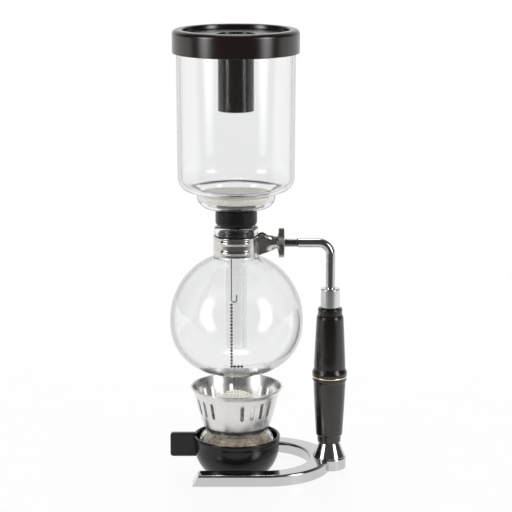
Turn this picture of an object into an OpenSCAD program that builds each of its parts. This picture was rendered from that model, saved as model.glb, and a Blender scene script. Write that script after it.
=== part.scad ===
// Siphon coffee brewer on a chrome stand. Millimetres, +Z up, +X from the glass axis to the column.
// The origin is on the table, under the middle of the whole object.

/* [Stand] */
// Distance from the glass axis to the column's axis
column_offset = 71; // [70:0.5:73]
// Height of the arm's axis above the table
arm_z = 176.8; // [176:0.2:177.6]
// Diameter of the bent rod
rod_d = 7; // [6:0.5:7]
// Half of the horseshoe's outer width
base_r = 49; // [48:0.5:50]
// Half of the horseshoe's opening
gap_r = 35.6; // [35.5:0.1:36.5]
// Height of the horseshoe's top face
base_top = 9.6; // [9:0.1:10]
// How far the horseshoe's arms reach past the glass axis
arm_reach = 33; // [30:1:36]

/* [Bulb] */
// Outer radius of the bulb
bulb_r = 50.4; // [49.5:0.1:50.5]
// Height of the bulb's widest place
bulb_z = 118; // [118:0.5:119]
// Outer radius of the bulb's neck
neck_r = 15.9; // [15.8:0.05:16]
// Thickness of the bulb's glass
bulb_wall = 2; // [1.8:0.1:2.4]

/* [Upper bowl] */
// Outer radius of the bowl at its rim
bowl_r = 44.4; // [44:0.1:44.5]
// Height of the bowl's rim
bowl_rim_z = 333.4; // [332:0.2:333.4]
// Outer radius of the stem
stem_r = 7.5; // [7.3:0.1:7.5]
// Height of the stem's open end
stem_end_z = 96.5; // [95:0.5:100]

/* [Lid] */
// Outer radius of the lid
lid_r = 47.2; // [47:0.1:48]
// Height of the lid's top face
lid_top_z = 337.3; // [337.3:0.1:339]
// Height of the lower end of the stem socket
socket_end_z = 277; // [275:1:285]

/* [Burner] */
// Outer radius of the burner holder's lip
holder_r = 33.3; // [33:0.1:33.5]
// How far the holder's tab reaches from the glass axis
tab_reach = 51; // [48:1:54]
// Outer radius of the wind screen's rim
screen_r = 35.1; // [35:0.1:35.3]
// Height of the wind screen's rim
screen_top_z = 65.5; // [65:0.1:66]
// Height of the wick's top
wick_top_z = 62; // [60:0.5:63]

/* [Hidden] */
$fn = 96;

rod_r = rod_d / 2;
ring_r = 13.4;
glass_x = (tab_reach - column_offset - ring_r) / 2;
pad_h = 0.8;
fit = 0.05;
slack = 0.3;

// Heights of the pieces stacked on the column
cone_top_z = 20.8;
ring_z = 72.7;
ring_h = 1.3;
cap_z = 121;
collar_z = 127;
collar_top_z = 142;
bend_r = 9;

// Clamp round the bulb's neck
band_in_r = neck_r + slack + 0.2;
band_wall = 0.9;
band_z = 168;
band_h = 14.5;
ear_y = 4.4;
ear_end_x = 31;
wheel_x = 32.1;
wheel_w = 3.7;
wheel_r = 11;
thread_pitch = 1.65;
thread_end_x = 47;

// Arc of points in the plane of a profile, from angle a to angle b
function arc(cx, cy, r, a, b, n = 12) =
    [for (i = [0 : n]) let (t = a + (b - a) * i / n) [cx + r * cos(t), cy + r * sin(t)]];

// Half of a stretched circle: the upper half is an ellipse, the lower half is lower and flatter below
function oval(r, low, up, a, b, n = 30) =
    [for (i = [0 : n]) let (t = a + (b - a) * i / n)
        t < 0
            ? [r * pow(max(0, cos(t)), 0.87), bulb_z - low * pow(sin(-t), 0.87)]
            : [r * cos(t), bulb_z + up * sin(t)]];

// Everything is drawn about the glass axis and then moved so that the origin is under the middle
module place() {
    translate([glass_x, 0, 0]) children();
}

module on_column() {
    place() translate([column_offset, 0, 0]) children();
}

// Round solid with a bore, from a profile of [radius, height] points
module turned(points, bore = 0) {
    difference() {
        rotate_extrude() polygon(points);
        if (bore > 0) {
            translate([0, 0, -1]) cylinder(r = bore, h = 400);
        }
    }
}

// ---- Stand ----

ring_cx = 22;
pad_places = [[-24, -42], [-24, 42], [50, -31.5], [50, 31.5]];

module horseshoe_outline(r, tip) {
    translate([ring_cx, 0]) circle(r);
    translate([-tip + 6, -r]) square([ring_cx + tip - 6, 2 * r]);
    translate([-tip, -r + 6]) square([12, 2 * r - 12]);
    for (s = [-1, 1]) {
        translate([-tip + 6, s * (r - 6)]) circle(6);
    }
}

module horseshoe_gap(r) {
    translate([ring_cx - 2, 0]) circle(r);
    translate([-60, -r]) square([ring_cx - 2 + 60, 2 * r]);
}

module base() {
    color("silver") place() difference() {
        union() {
            translate([0, 0, pad_h]) linear_extrude(base_top - pad_h - 1) difference() {
                horseshoe_outline(base_r, arm_reach);
                horseshoe_gap(gap_r);
            }
            translate([0, 0, base_top - 1]) linear_extrude(1) difference() {
                horseshoe_outline(base_r - 1, arm_reach - 1.5);
                horseshoe_gap(gap_r + 0.4);
            }
            translate([column_offset, 0, pad_h]) cylinder(r = 13, h = base_top - pad_h);
        }
        translate([column_offset, 0, -1]) cylinder(r = 2.3, h = 20);
        translate([column_offset, 0, -1]) cylinder(r = 6, h = 5.2);
        for (p = pad_places) {
            translate([p[0], p[1], -1]) cylinder(r = 4.5, h = 1 + 2 * pad_h);
        }
    }
}

module base_pads() {
    color("dimgray") place() for (p = pad_places) {
        translate([p[0], p[1], 0]) cylinder(r = 4.3, h = 2 * pad_h);
    }
}

module base_screw() {
    color("gray") on_column() difference() {
        union() {
            translate([0, 0, 1.2]) cylinder(r = 5, h = 3);
            translate([0, 0, 4]) cylinder(r = 2, h = 22);
        }
        cylinder(r = 2.4, h = 2.8, $fn = 6);
    }
}

module foot_cone() {
    color("silver") on_column() turned([
        [0, base_top], [12.6, base_top], [12.2, base_top + 0.8], [7.9, cone_top_z], [0, cone_top_z]
    ], rod_r + fit);
}

module lower_grip() {
    color("#241a18") on_column() turned(concat(
        [[0, cone_top_z]],
        arc(8.1, cone_top_z + 1, 1, -90, 0, 4),
        [[9.2, cone_top_z + 5.7], [10, cone_top_z + 6.5]],
        [[12.1, ring_z - 6], [12.4, ring_z - 3.5], [13.1, ring_z - 2]],
        [[13.2, ring_z], [0, ring_z]]
    ), rod_r + fit);
}

module grip_ring() {
    color("#cfc08a") on_column() turned(concat(
        [[0, ring_z]],
        arc(ring_r - ring_h / 2, ring_z + ring_h / 2, ring_h / 2, -90, 90, 8),
        [[0, ring_z + ring_h]]
    ), rod_r + fit);
}

module upper_grip() {
    color("#241a18") on_column() turned(concat(
        [[0, ring_z + ring_h], [12.7, ring_z + ring_h]],
        arc(11.6, ring_z + ring_h + 2.3, 1.9, -50, 60, 8),
        [[12.1, ring_z + 8], [11.2, 100], [10.4, 117], [10.2, cap_z - 1]],
        [[9.6, cap_z], [0, cap_z]]
    ), rod_r + fit);
}

module handle_cap() {
    color("#1c1615") on_column() turned(concat(
        [[0, cap_z], [9.3, cap_z], [9.3, collar_z - 1]],
        arc(8.3, collar_z - 1, 1, 0, 90, 6),
        [[0, collar_z]]
    ), rod_r + fit);
}

module collar() {
    color("gainsboro") on_column() turned([
        [0, collar_z], [7, collar_z], [7.3, collar_z + 0.4], [7.3, collar_top_z - 0.8],
        [6.5, collar_top_z], [0, collar_top_z]
    ], rod_r + fit);
}

// Ridges of the rod's thread, as rings one pitch apart
module thread(x0, x1) {
    turns = floor((x1 - x0) / thread_pitch);
    translate([x0, 0, 0]) rotate([0, 90, 0]) rotate_extrude() polygon(concat(
        [[0, 0]],
        [for (i = [0 : turns - 1], p = [[rod_r - 0.4, 0], [rod_r, thread_pitch / 2]])
            [p[0], i * thread_pitch + p[1]]],
        [[rod_r - 0.4, turns * thread_pitch], [0, turns * thread_pitch]]
    ));
}

module arm_rod() {
    color("silver") place() difference() {
        union() {
            translate([0, 0, arm_z]) thread(ear_end_x - 7, thread_end_x);
            translate([thread_end_x - 1, 0, arm_z]) rotate([0, 90, 0])
                cylinder(r = rod_r, h = column_offset - bend_r - thread_end_x + 1);
            translate([column_offset - bend_r, 0, arm_z - bend_r]) rotate([90, 0, 0])
                rotate_extrude(angle = 90) translate([bend_r, 0]) circle(rod_r);
            translate([column_offset, 0, base_top]) cylinder(r = rod_r, h = arm_z - bend_r - base_top);
        }
        translate([column_offset, 0, base_top - 1]) cylinder(r = 2 + fit, h = 20);
    }
}

// ---- Clamp ----

module ear_block() {
    color("gray") place() difference() {
        translate([ear_end_x - 7, -ear_y + fit, arm_z - 4]) cube([7, 2 * (ear_y - fit), 8]);
        translate([ear_end_x - 8, 0, arm_z]) rotate([0, 90, 0]) cylinder(r = rod_r + fit, h = 10);
    }
}

module ear_shape() {
    polygon([
        [band_in_r - 1.5, band_z], [18, band_z], [29, arm_z - 4.2], [ear_end_x, arm_z - 4.2],
        [ear_end_x, arm_z + 4.6], [29, arm_z + 4.6], [22, band_z + band_h], [band_in_r - 1.5, band_z + band_h]
    ]);
}

screw_x = 20.6;
screw_z = arm_z + 2.6;

module clamp_band() {
    color("lightgray") place() difference() {
        union() {
            translate([0, 0, band_z]) cylinder(r = band_in_r + band_wall, h = band_h);
            for (z = [band_z + 2.6, band_z + band_h - 3.6]) {
                translate([0, 0, z]) rotate_extrude()
                    translate([band_in_r + band_wall - 0.3, 0]) circle(1.1);
            }
            for (s = [-1, 1]) {
                translate([0, s * (ear_y + band_wall / 2) + band_wall / 2, 0]) rotate([90, 0, 0])
                    linear_extrude(band_wall) ear_shape();
            }
        }
        translate([0, 0, band_z - 1]) cylinder(r = band_in_r, h = band_h + 2);
        translate([10, -ear_y, band_z - 1]) cube([30, 2 * ear_y, band_h + 2]);
        translate([screw_x, 20, screw_z]) rotate([90, 0, 0]) cylinder(r = 1.3, h = 40);
    }
}

module clamp_screw() {
    color("gray") place() translate([screw_x, 0, screw_z]) rotate([90, 0, 0]) {
        translate([0, 0, ear_y + band_wall]) cylinder(r = 2.3, h = 1.4);
        translate([0, 0, -ear_y - band_wall - 2.4]) cylinder(r = 1.2, h = 2 * ear_y + 2 * band_wall + 3);
    }
}

module clamp_nut() {
    color("gray") place() translate([screw_x, ear_y + band_wall, screw_z]) rotate([-90, 0, 0]) difference() {
        cylinder(r = 2.6, h = 2, $fn = 6);
        translate([0, 0, -1]) cylinder(r = 1.2 + fit, h = 4);
    }
}

module lock_washer() {
    color("silver") place() translate([ear_end_x + fit, 0, arm_z]) rotate([0, 90, 0]) difference() {
        cylinder(r = 7, h = wheel_x - ear_end_x - 2 * fit);
        translate([0, 0, -1]) cylinder(r = rod_r + 2 * fit, h = 4);
    }
}

// Disc with a knurled rim of straight V grooves
module thumb_wheel() {
    teeth = 60;
    color("silver") place() translate([wheel_x, 0, arm_z]) rotate([0, 90, 0]) difference() {
        linear_extrude(wheel_w) polygon([
            for (i = [0 : 2 * teeth - 1])
                let (r = wheel_r - (i % 2) * 0.45, a = i * 180 / teeth) [r * cos(a), r * sin(a)]
        ]);
        translate([0, 0, -1]) cylinder(r = rod_r + 0.7, h = wheel_w + 2);
    }
}

// ---- Glass ----

bulb_low = 43;
bulb_up = 51.5;
neck_wall = 2.4;
neck_top_z = 190;
lip_r = 16.6;

module bulb() {
    outer_top = acos(neck_r / bulb_r);
    inner_r = bulb_r - bulb_wall;
    inner_top = acos((neck_r - neck_wall) / inner_r);
    color("lightblue", 0.4) place() rotate_extrude() polygon(concat(
        oval(bulb_r, bulb_low, bulb_up, -90, outer_top),
        [[neck_r, neck_top_z - 7]],
        arc(lip_r - 2.4, neck_top_z - 2.4, 2.4, -20, 90, 8),
        [[neck_r - neck_wall + 0.4, neck_top_z], [neck_r - neck_wall, neck_top_z - 0.6]],
        oval(inner_r, bulb_low - bulb_wall, bulb_up - bulb_wall, inner_top, -90)
    ));
}

bowl_wall = 2;
stem_wall = 1.6;
dish_z = 204;

module upper_bowl() {
    low_r = bowl_r - 0.7;
    corner_x = low_r - 10;
    color("lightblue", 0.35) place() rotate_extrude() polygon(concat(
        [[stem_r, stem_end_z]],
        arc(stem_r + 0.6, dish_z - 1.1, 0.6, 180, 90, 4),
        [[20.5, dish_z]],
        arc(20.5, dish_z + 9, 9, -85, -25, 8),
        [[31.5, dish_z + 9.5], [32.2, 216.4]],
        arc(corner_x, 227, 10, -90, 0, 10),
        arc(bowl_r - 1, bowl_rim_z - 1, 1, 0, 180, 8),
        [[low_r - bowl_wall, 227]],
        arc(corner_x, 227, 8, 0, -90, 10),
        [[30.2, 218], [29.4, dish_z + 10]],
        arc(20.5, dish_z + 9, 7, -25, -85, 8),
        [[stem_r - stem_wall + 1.5, dish_z + 2], [stem_r - stem_wall, dish_z + 0.5]],
        [[stem_r - stem_wall, stem_end_z]]
    ));
}

module bung() {
    color("#202020") place() turned([
        [0, 176], [12, 176], [13.3, 181.5], [13.3, 187.5], [12.7, 189.8], [15.8, 192.3], [15.8, 202.4], [15.2, dish_z - 1.2], [0, dish_z - 1.2]
    ], stem_r + fit);
}

// ---- Filter ----

module filter_plate() {
    color("silver") place() difference() {
        translate([0, 0, 210.8]) cylinder(r = 24.6, h = 1);
        for (ring = [1 : 3], i = [0 : 6 * ring - 1]) {
            rotate(i * 60 / ring) translate([6.6 * ring, 0, 205]) cylinder(r = 1.5, h = 10, $fn = 24);
        }
        translate([0, 0, 205]) cylinder(r = 1.6, h = 10);
    }
}

module filter_cloth() {
    color("#d8c9ab") place() rotate_extrude() polygon(concat(
        [[0, 211.9], [25.2, 211.9], [25.2, 210.6], [9, 210.6], [6, 208.2]],
        [[6.8, 207.6], [12, 208.9], [25, 209.1]],
        arc(24.3, 212.4, 2, 0, 90, 6),
        [[0, 214.4]]
    ));
}

module drawstring() {
    color("#e6dcc4") place() translate([0, 0, 207.1]) rotate_extrude() translate([5.2, 0]) circle(0.6, $fn = 24);
}

module filter_rivet() {
    color("silver") place() {
        translate([0, 0, 205.2]) cylinder(r = 1.5, h = 6.6);
        translate([0, 0, 208.6]) cylinder(r = 3.4, h = 2.1);
    }
}

wire_x = -3.8;
spring_end_z = 184;

// Outer shape of the closed coils
module filter_spring() {
    color("silver") place() translate([0, 0, spring_end_z]) difference() {
        cylinder(r = 3, h = 205.1 - spring_end_z);
        translate([0, 0, -1]) cylinder(r = 1.8, h = 30);
    }
}

module pull_wire() {
    wire_r = 0.55;
    hook_z = 133;
    color("silver") place() {
        translate([wire_x, 0, hook_z]) cylinder(r = wire_r, h = spring_end_z - hook_z - 0.6, $fn = 24);
        translate([wire_x + 2, 0, hook_z]) rotate([90, 0, 0]) rotate([0, 0, 180])
            rotate_extrude(angle = 180) translate([2, 0]) circle(wire_r, $fn = 24);
        translate([wire_x + 4, 0, hook_z]) cylinder(r = wire_r, h = 4, $fn = 24);
        translate([wire_x, 0, spring_end_z - 0.6]) rotate([0, 90, 0])
            cylinder(r = wire_r, h = 3, $fn = 24);
    }
}

// Ball chain from the hook down to the bulb's floor, with a short tail along the floor
bead_r = 1.1;
bead_pitch = 2.6;
chain_top_z = 129;

module bead_chain() {
    hanging = 20;
    tail = 3;
    floor_z = chain_top_z - (hanging - 1) * bead_pitch;
    color("silver") place() {
        for (i = [0 : hanging - 1]) {
            translate([wire_x, 0, chain_top_z - i * bead_pitch]) sphere(bead_r, $fn = 32);
        }
        translate([wire_x, 0, floor_z]) cylinder(r = 0.35, h = chain_top_z - floor_z, $fn = 24);
        for (i = [1 : tail]) {
            translate([wire_x + i * bead_pitch, 0, floor_z]) sphere(bead_r, $fn = 32);
        }
        translate([wire_x, 0, floor_z]) rotate([0, 90, 0]) cylinder(r = 0.35, h = tail * bead_pitch, $fn = 24);
    }
}

// ---- Lid ----

lid_skirt_z = 320;
lid_inner_r = bowl_r + 1;
recess_r = 39.6;
socket_r = 13.4;
socket_wall = 1.8;

module lid() {
    recess_z = lid_top_z - 3.4;
    color("#3a2620") place() rotate_extrude() polygon(concat(
        [[lid_inner_r, lid_skirt_z], [lid_r - 0.5, lid_skirt_z], [lid_r, lid_skirt_z + 0.5]],
        arc(lid_r - 3, lid_top_z - 3, 3, 0, 90, 8),
        arc(recess_r + 1, lid_top_z - 1, 1, 90, 180, 4),
        [[recess_r, recess_z], [14, recess_z], [13.6, recess_z - 1.5], [0, recess_z - 1.5]],
        [[0, recess_z - 3.5], [socket_r - socket_wall, recess_z - 3.5]],
        [[socket_r - socket_wall, socket_end_z], [socket_r, socket_end_z]],
        [[socket_r, recess_z - 2.2], [recess_r + 2.2, recess_z - 2.2], [recess_r + 2.2, bowl_rim_z + slack]],
        [[lid_inner_r, bowl_rim_z + slack]]
    ));
}

// ---- Burner ----

module burner_holder() {
    color("#1a1a1a") place() {
        rotate_extrude() polygon(concat(
            [[0, 0.6], [24, 0.6], [24, 0], [25.6, 0]],
            arc(20.3, 10, 11.8, -50, 0, 8),
            [[holder_r - 0.6, 20]],
            arc(holder_r - 1.2, 25.4, 1.2, 0, 180, 8),
            [[holder_r - 2.4, 20], [30, 10]],
            [[24.4, 3], [0, 3]]
        ));
        difference() {
            translate([-tab_reach, -2.5, 9.5]) linear_extrude(18.5) {
                translate([2, 0]) square([20.5, 5]);
                translate([0, 2]) square([4, 1]);
                translate([2, 2]) circle(2);
                translate([2, 3]) circle(2);
            }
            cylinder(r = holder_r - 2, h = 60);
        }
    }
}

pot_neck_r = 13;
pot_top_z = 30.1;
flange_z = 35.2;

module lamp_pot() {
    color("lightblue", 0.4) place() rotate_extrude() polygon(concat(
        [[0, 3.1], [20.5, 3.1]],
        arc(20.6, 10.9, 7.6, -85, 0, 6),
        [[29.6, 14], [29.6, 22]],
        arc(24.6, 22, 5, 0, 80, 6),
        [[24.8, pot_top_z - 1], [15.4, pot_top_z], [pot_neck_r, pot_top_z + 1.4]],
        [[pot_neck_r, flange_z], [pot_neck_r - 2, flange_z]],
        [[pot_neck_r - 2, pot_top_z - 1.2], [24, 26.4], [27.6, 22]],
        [[27.6, 14], [26.6, 9], [22, 5.4], [0, 5.4]]
    ));
}

module wick_holder() {
    color("silver") place() difference() {
        union() {
            translate([0, 0, flange_z]) cylinder(r = 14.2, h = 1);
            translate([0, 0, 24]) cylinder(r = 10.6, h = 26);
        }
        translate([0, 0, 20]) cylinder(r = 9.8, h = 40);
    }
}

module wick() {
    color("#ece3cc") place() turned(concat(
        [[0, 8], [8.5, 8], [9.6, 12], [9.6, 50.2], [11.6, 51.2]],
        arc(4, wick_top_z - 8.4, 8.4, 10, 90, 10),
        [[0, wick_top_z]]
    ));
}

slot_groups = 4;
slots_in_group = 4;
slot_step = 15;
first_slot = -81.5;
screen_wall = 0.7;
screen_bore = 21;

module screen_slot() {
    translate([20, 0, 0]) {
        translate([0, -1.4, 46.4]) cube([20, 2.8, 10.4]);
        for (z = [46.4, 56.8]) {
            translate([0, 0, z]) rotate([0, 90, 0]) cylinder(r = 1.4, h = 20);
        }
    }
}

module wind_screen() {
    color("gainsboro") place() difference() {
        rotate_extrude() polygon(concat(
            [[screen_bore, 30.5]],
            arc(20.4, 35.6, 5.4, -70, -20, 6),
            [[29.2, 47], [30.9, 55.6], [32.9, screen_top_z - 3.7], [33.9, screen_top_z - 1.6]],
            arc(screen_r - 0.8, screen_top_z - 0.8, 0.8, -90, 90, 6),
            [[33.4, screen_top_z - 0.6], [32.9 - screen_wall, screen_top_z - 3.6]],
            [[30.9 - screen_wall, 55.8], [29.2 - screen_wall, 47.2]],
            arc(20.4, 35.6, 5.4 - screen_wall, -20, -70, 6),
            [[screen_bore, 30.5 + screen_wall]]
        ));
        for (group = [0 : slot_groups - 1], i = [0 : slots_in_group - 1]) {
            rotate(first_slot + group * 90 + i * slot_step) screen_slot();
        }
    }
}

base();
base_pads();
base_screw();
foot_cone();
lower_grip();
grip_ring();
upper_grip();
handle_cap();
collar();
arm_rod();
ear_block();
clamp_band();
clamp_screw();
clamp_nut();
lock_washer();
thumb_wheel();
bulb();
upper_bowl();
bung();
filter_plate();
filter_cloth();
drawstring();
filter_rivet();
filter_spring();
pull_wire();
bead_chain();
lid();
burner_holder();
lamp_pot();
wick_holder();
wick();
wind_screen();
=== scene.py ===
import math

import bmesh
import bpy
from mathutils import Matrix, Vector, noise


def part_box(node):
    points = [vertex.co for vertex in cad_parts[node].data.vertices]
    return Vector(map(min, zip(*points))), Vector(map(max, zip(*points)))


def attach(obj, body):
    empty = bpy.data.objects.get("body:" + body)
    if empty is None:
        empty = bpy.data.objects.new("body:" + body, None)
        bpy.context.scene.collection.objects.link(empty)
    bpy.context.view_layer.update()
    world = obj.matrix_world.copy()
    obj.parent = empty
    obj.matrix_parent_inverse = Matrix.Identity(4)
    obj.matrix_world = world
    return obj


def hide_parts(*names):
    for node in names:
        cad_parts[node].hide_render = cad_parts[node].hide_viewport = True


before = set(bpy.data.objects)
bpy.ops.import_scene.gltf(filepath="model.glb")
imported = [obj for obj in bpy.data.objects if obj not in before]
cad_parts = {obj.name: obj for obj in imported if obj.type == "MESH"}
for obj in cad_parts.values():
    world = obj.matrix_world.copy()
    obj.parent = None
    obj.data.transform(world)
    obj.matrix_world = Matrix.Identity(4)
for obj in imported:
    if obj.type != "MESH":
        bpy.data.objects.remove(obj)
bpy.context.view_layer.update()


# ---------------------------------------------------------------------------
# Camera, floor and light
# The brewer stands alone on a white table that runs on behind it, seen from a little above the lid.
# Two tall soft boxes stand in front, one each side, with the dark of the studio between them; a third
# hangs behind. The table's front is dark in reflections only, so that the plated parts read.

def middle_x(node):
    low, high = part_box(node)
    return (low.x + high.x) / 2


glass_x = middle_x("upper_bowl")
column_x = middle_x("collar")

view_side, view_distance, view_height, view_down = 0.0148, 1.3984, 0.4716, 12.3

lens = bpy.data.cameras.new("view")
lens.lens = 133.6
lens.clip_end = 40
viewer = bpy.data.objects.new("view", lens)
viewer.location = (glass_x + view_side, -view_distance, view_height)
viewer.rotation_euler = (math.radians(90 - view_down), 0, 0)
bpy.context.collection.objects.link(viewer)
bpy.context.scene.camera = viewer


def material(name, **settings):
    """A new material and its shader, with each setting on the shader's own socket."""
    mat = bpy.data.materials.new(name)
    mat.use_nodes = True
    shader = mat.node_tree.nodes["Principled BSDF"]
    for socket, value in settings.items():
        shader.inputs[socket.replace("_", " ")].default_value = value
    return mat, shader


def joined(mat, kind, **inputs):
    """Adds a node; each input is a value or another node's output."""
    node = mat.node_tree.nodes.new(kind)
    for name, value in inputs.items():
        socket = node.inputs[name.replace("_", " ")]
        if isinstance(value, bpy.types.NodeSocket):
            mat.node_tree.links.new(value, socket)
        else:
            socket.default_value = value
    return node


def cloudy(mat, scale, stretch=(1, 1, 1), detail=4.0, rough=0.5):
    """Noise on the object's own coordinates, in patterns per metre."""
    place = joined(mat, "ShaderNodeTexCoord").outputs["Object"]
    turned_place = joined(mat, "ShaderNodeMapping", Vector=place, Scale=stretch).outputs["Vector"]
    grain = joined(mat, "ShaderNodeTexNoise", Vector=turned_place, Scale=scale, Detail=detail,
                   Roughness=rough)
    return grain.outputs["Fac"]


def between(mat, source, low, high, start=0.3, end=0.7):
    """Spreads a 0 to 1 pattern over the range from low to high."""
    spread = joined(mat, "ShaderNodeMapRange", Value=source)
    for name, value in (("From Min", start), ("From Max", end), ("To Min", low), ("To Max", high)):
        spread.inputs[name].default_value = value
    return spread.outputs["Result"]


def tinted(mat, source, dark, light, start=0.3, end=0.7):
    """Blends two colours by a pattern."""
    ramp = joined(mat, "ShaderNodeValToRGB", Fac=source)
    ramp.color_ramp.elements[0].position = start
    ramp.color_ramp.elements[1].position = end
    ramp.color_ramp.elements[0].color = (*dark, 1)
    ramp.color_ramp.elements[1].color = (*light, 1)
    return ramp.outputs["Color"]


def wire_to(mat, output, shader, socket):
    mat.node_tree.links.new(output, shader.inputs[socket])


def dented(mat, shader, source, depth, strength=1.0):
    """Bump of that depth in metres."""
    bump = joined(mat, "ShaderNodeBump", Height=source, Strength=strength, Distance=depth)
    wire_to(mat, bump.outputs["Normal"], shader, "Normal")
    return bump


table_mat, table_shader = material("table_white", Specular_IOR_Level=0.1, Emission_Color=(1, 1, 1, 1))
table_place = joined(table_mat, "ShaderNodeTexCoord").outputs["Object"]
table_axes = joined(table_mat, "ShaderNodeSeparateXYZ", Vector=table_place)
dark_until, light_from = -0.45, -0.14
front_shade = between(table_mat, table_axes.outputs["Y"], 0.04, 0.92, dark_until, light_from)
reflections = joined(table_mat, "ShaderNodeLightPath").outputs["Glossy Depth"]
table_glow = joined(table_mat, "ShaderNodeMix", Factor=reflections)
table_glow.inputs["A"].default_value = 0.90
table_mat.node_tree.links.new(front_shade, table_glow.inputs["B"])
wire_to(table_mat, table_glow.outputs["Result"], table_shader, "Emission Strength")
paper = cloudy(table_mat, 30)
wire_to(table_mat, tinted(table_mat, paper, (0.045, 0.045, 0.045), (0.05, 0.05, 0.05)), table_shader,
        "Base Color")
wire_to(table_mat, between(table_mat, paper, 0.5, 0.6), table_shader, "Roughness")

bm = bmesh.new()
table_half = 12
bmesh.ops.create_grid(bm, x_segments=8, y_segments=8, size=table_half)
table_mesh = bpy.data.meshes.new("table")
bm.to_mesh(table_mesh)
bm.free()
table = bpy.data.objects.new("table", table_mesh)
bpy.context.collection.objects.link(table)
table_mesh.materials.append(table_mat)


def soft_box(name, azimuth, distance, height, width, tall, power, aim=0.17, soft_edge=0.5):
    """A soft box standing at that azimuth from the front, turned to the brewer."""
    light = bpy.data.lights.new(name, "AREA")
    light.shape = "RECTANGLE"
    light.size = width
    light.size_y = tall
    light.energy = power
    light.use_nodes = True
    tree = light.node_tree
    across = tree.nodes.new("ShaderNodeSeparateXYZ")
    tree.links.new(tree.nodes.new("ShaderNodeNewGeometry").outputs["Parametric"], across.inputs["Vector"])
    falls = []
    for axis in "XY":
        slope = tree.nodes.new("ShaderNodeMath")
        slope.operation = "PINGPONG"
        slope.inputs[1].default_value = 0.5
        tree.links.new(across.outputs[axis], slope.inputs[0])
        fall = tree.nodes.new("ShaderNodeMapRange")
        fall.interpolation_type = "SMOOTHSTEP"
        fall.inputs["From Max"].default_value = soft_edge
        tree.links.new(slope.outputs["Value"], fall.inputs["Value"])
        falls.append(fall)
    both = tree.nodes.new("ShaderNodeMath")
    both.operation = "MULTIPLY"
    tree.links.new(falls[0].outputs["Result"], both.inputs[0])
    tree.links.new(falls[1].outputs["Result"], both.inputs[1])
    tree.links.new(both.outputs["Value"], tree.nodes["Emission"].inputs["Strength"])
    lamp = bpy.data.objects.new(name, light)
    turn = math.radians(azimuth)
    lamp.location = (glass_x + distance * math.sin(turn), -distance * math.cos(turn), height)
    lamp.rotation_euler = (Vector((glass_x, 0, aim)) - lamp.location).to_track_quat("-Z", "Y").to_euler()
    bpy.context.collection.objects.link(lamp)


for name, azimuth in (("left_box", -56), ("right_box", 56)):
    soft_box(name, azimuth, distance=1.3, height=0.55, width=0.75, tall=1.4, power=27)
soft_box("top_box", 180, distance=0.5, height=1.6, width=1.0, tall=0.6, power=14)

world = bpy.data.worlds.new("studio")
world.use_nodes = True
bpy.context.scene.world = world
studio = world.node_tree.nodes["Background"]
where = joined(world, "ShaderNodeTexCoord").outputs["Generated"]
axes = joined(world, "ShaderNodeSeparateXYZ", Vector=where)
front_dark = between(world, axes.outputs["Y"], 0.08, 1.0, 0.35, 0.92)
fill = joined(world, "ShaderNodeMath")
fill.operation = "MAXIMUM"
world.node_tree.links.new(front_dark, fill.inputs[0])
world.node_tree.links.new(joined(world, "ShaderNodeLightPath").outputs["Is Diffuse Ray"], fill.inputs[1])
world.node_tree.links.new(fill.outputs["Value"], studio.inputs["Strength"])
studio.inputs["Color"].default_value = (1, 1, 1, 1)
bpy.context.scene.view_settings.view_transform = "Standard"


# ---------------------------------------------------------------------------
# Base
# The base is a die-cast horseshoe of zinc, polished and chrome plated, open to the side where the
# burner goes in. A round boss at its closed end carries the handle.

def new_piece(name, bm, mat, body, node=None, sharp=35):
    """Makes a bmesh, drawn in millimetres, an object that rides on a body and may stand for a node."""
    bmesh.ops.scale(bm, vec=(0.001, 0.001, 0.001), verts=bm.verts)
    bmesh.ops.recalc_face_normals(bm, faces=bm.faces)
    if all(len(edge.link_faces) == 2 for edge in bm.edges) and bm.calc_volume(signed=True) < 0:
        bmesh.ops.reverse_faces(bm, faces=bm.faces)
    for face in bm.faces:
        face.smooth = True
    for edge in bm.edges:
        if len(edge.link_faces) == 2 and edge.calc_face_angle(0) > math.radians(sharp):
            edge.smooth = False
    mesh = bpy.data.meshes.new(name)
    bm.to_mesh(mesh)
    bm.free()
    mesh.materials.append(mat)
    piece = bpy.data.objects.new(name, mesh)
    bpy.context.collection.objects.link(piece)
    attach(piece, body)
    if node:
        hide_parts(*([node] if isinstance(node, str) else node))
    weighted = piece.modifiers.new("even shading", "WEIGHTED_NORMAL")
    weighted.keep_sharp = True
    return piece


def cut(bm, other, operation):
    """Joins or cuts one closed bmesh with another, and returns the result."""
    halves = []
    for part in (bm, other):
        mesh = bpy.data.meshes.new("work")
        part.to_mesh(mesh)
        part.free()
        halves.append(bpy.data.objects.new("work", mesh))
        bpy.context.collection.objects.link(halves[-1])
    tool = halves[0].modifiers.new("cut", "BOOLEAN")
    tool.operation = operation
    tool.solver = "EXACT"
    tool.object = halves[1]
    bpy.context.view_layer.update()
    result = bmesh.new()
    result.from_object(halves[0], bpy.context.evaluated_depsgraph_get())
    for half in halves:
        mesh = half.data
        bpy.data.objects.remove(half)
        bpy.data.meshes.remove(mesh)
    return result


def bevel(bm, edges, offset, segments=4):
    bmesh.ops.bevel(bm, geom=edges, offset=offset, offset_type="OFFSET", segments=segments, profile=0.5,
                    affect="EDGES", material=-1, clamp_overlap=True)


def rod(bm, radius, x, y, z0, z1, segments=64):
    """Adds an upright cylinder to a bmesh and returns its vertices."""
    made = bmesh.ops.create_cone(bm, cap_ends=True, segments=segments, radius1=radius, radius2=radius,
                                 depth=z1 - z0)["verts"]
    bmesh.ops.translate(bm, vec=(x, y, (z0 + z1) / 2), verts=made)
    return made


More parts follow.
